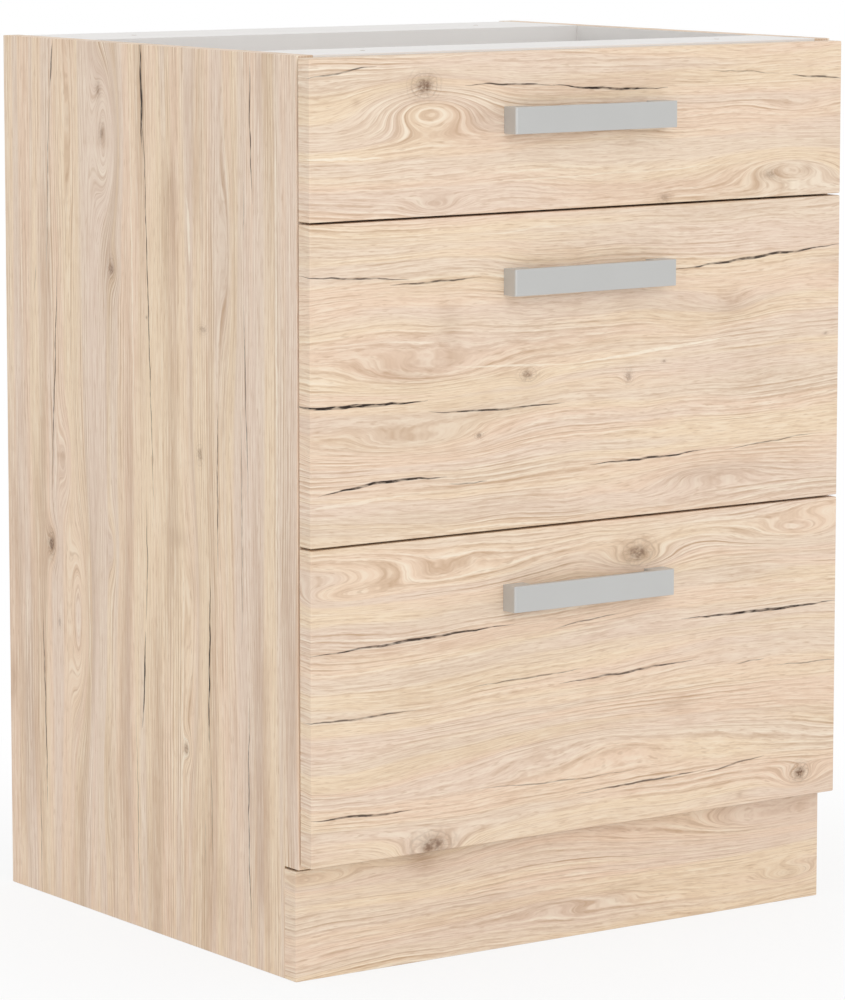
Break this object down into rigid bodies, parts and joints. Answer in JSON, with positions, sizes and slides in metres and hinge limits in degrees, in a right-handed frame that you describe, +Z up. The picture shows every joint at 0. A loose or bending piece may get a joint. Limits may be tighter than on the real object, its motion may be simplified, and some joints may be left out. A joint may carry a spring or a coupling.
{
  "type": "kitchen drawer base cabinet",
  "caption": "Kitchen base cabinet in pale oak decor with stacked drawers on roller runners, grey bar handles, a set-back plinth and open top rails for a worktop.",
  "frame": {"origin": "on the floor, at the centre of the box round the whole cabinet with its handles", "axes": "+Z up; the drawer fronts face -Y; +X to the right as seen from the front"},
  "size_m": [0.6, 0.538, 0.82],
  "materials": {
    "oak_decor": "matt melamine decor with an oak grain",
    "white_board": "white melamine-faced board",
    "silver_lacquer": "satin silver-grey lacquer",
    "coated_steel_sheet": "light grey powder coat",
    "zinc_plated_steel": "zinc plated",
    "white_nylon": "moulded, matt",
    "beech": "bare fluted beech"
  },
  "bodies": {
    "carcass": {"side_panel_left": "oak_decor", "side_panel_right": "oak_decor", "bottom_panel": "white_board", "front_rail": "white_board", "rear_rail": "white_board", "back_panel": "white_board", "plinth_board": "oak_decor", "plinth_brackets": "white_nylon", "plinth_screws": "zinc_plated_steel", "back_panel_screws": "zinc_plated_steel", "cam_housings": "zinc_plated_steel", "cam_bolts": "zinc_plated_steel", "wooden_dowels": "beech", "runner_screws": "zinc_plated_steel", "runner_left_1": "coated_steel_sheet", "runner_right_1": "coated_steel_sheet", "runner_left_2": "coated_steel_sheet", "runner_right_2": "coated_steel_sheet", "runner_left_3": "coated_steel_sheet", "runner_right_3": "coated_steel_sheet"},
    "drawer_1": {"front_1": "oak_decor", "handle_1": "silver_lacquer", "handle_screws_1": "zinc_plated_steel", "drawer_side_left_1": "coated_steel_sheet", "drawer_side_right_1": "coated_steel_sheet", "drawer_base_1": "white_board", "drawer_back_1": "white_board", "front_brackets_1": "coated_steel_sheet", "drawer_screws_1": "zinc_plated_steel"},
    "drawer_2": {"front_2": "oak_decor", "handle_2": "silver_lacquer", "handle_screws_2": "zinc_plated_steel", "drawer_side_left_2": "coated_steel_sheet", "drawer_side_right_2": "coated_steel_sheet", "drawer_base_2": "white_board", "drawer_back_2": "white_board", "front_brackets_2": "coated_steel_sheet", "drawer_screws_2": "zinc_plated_steel", "gallery_rails_2": "coated_steel_sheet", "gallery_holders_2": "white_nylon"},
    "drawer_3": {"front_3": "oak_decor", "handle_3": "silver_lacquer", "handle_screws_3": "zinc_plated_steel", "drawer_side_left_3": "coated_steel_sheet", "drawer_side_right_3": "coated_steel_sheet", "drawer_base_3": "white_board", "drawer_back_3": "white_board", "front_brackets_3": "coated_steel_sheet", "drawer_screws_3": "zinc_plated_steel", "gallery_rails_3": "coated_steel_sheet", "gallery_holders_3": "white_nylon"},
    "cabinet_roller_pair_1": {"cabinet_rollers_1": "white_nylon"},
    "drawer_roller_pair_1": {"drawer_rollers_1": "white_nylon"},
    "cabinet_roller_pair_2": {"cabinet_rollers_2": "white_nylon"},
    "drawer_roller_pair_2": {"drawer_rollers_2": "white_nylon"},
    "cabinet_roller_pair_3": {"cabinet_rollers_3": "white_nylon"},
    "drawer_roller_pair_3": {"drawer_rollers_3": "white_nylon"}
  },
  "joints": [
    {"name": "drawer_1_slide", "type": "slide", "parent": "carcass", "child": "drawer_1", "axis": [0, -1, 0], "range_m": [0, 0.36]},
    {"name": "drawer_2_slide", "type": "slide", "parent": "carcass", "child": "drawer_2", "axis": [0, -1, 0], "range_m": [0, 0.36]},
    {"name": "drawer_3_slide", "type": "slide", "parent": "carcass", "child": "drawer_3", "axis": [0, -1, 0], "range_m": [0, 0.36]},
    {"name": "cabinet_rollers_1_turn", "type": "hinge", "parent": "carcass", "child": "cabinet_roller_pair_1", "pos_m": [0, -0.216, 0.7185], "axis": [1, 0, 0], "continuous": true},
    {"name": "drawer_rollers_1_turn", "type": "hinge", "parent": "drawer_1", "child": "drawer_roller_pair_1", "pos_m": [0, 0.203, 0.7185], "axis": [1, 0, 0], "continuous": true},
    {"name": "cabinet_rollers_2_turn", "type": "hinge", "parent": "carcass", "child": "cabinet_roller_pair_2", "pos_m": [0, -0.216, 0.4335], "axis": [1, 0, 0], "continuous": true},
    {"name": "drawer_rollers_2_turn", "type": "hinge", "parent": "drawer_2", "child": "drawer_roller_pair_2", "pos_m": [0, 0.203, 0.4335], "axis": [1, 0, 0], "continuous": true},
    {"name": "cabinet_rollers_3_turn", "type": "hinge", "parent": "carcass", "child": "cabinet_roller_pair_3", "pos_m": [0, -0.216, 0.1485], "axis": [1, 0, 0], "continuous": true},
    {"name": "drawer_rollers_3_turn", "type": "hinge", "parent": "drawer_3", "child": "drawer_roller_pair_3", "pos_m": [0, 0.203, 0.1485], "axis": [1, 0, 0], "continuous": true}
  ],
  "couplings": [
    {"joint": "cabinet_rollers_1_turn", "follows": "drawer_1_slide", "rad_per_m": 90.909},
    {"joint": "drawer_rollers_1_turn", "follows": "drawer_1_slide", "rad_per_m": 90.909},
    {"joint": "cabinet_rollers_2_turn", "follows": "drawer_2_slide", "rad_per_m": 90.909},
    {"joint": "drawer_rollers_2_turn", "follows": "drawer_2_slide", "rad_per_m": 90.909},
    {"joint": "cabinet_rollers_3_turn", "follows": "drawer_3_slide", "rad_per_m": 90.909},
    {"joint": "drawer_rollers_3_turn", "follows": "drawer_3_slide", "rad_per_m": 90.909}
  ]
}
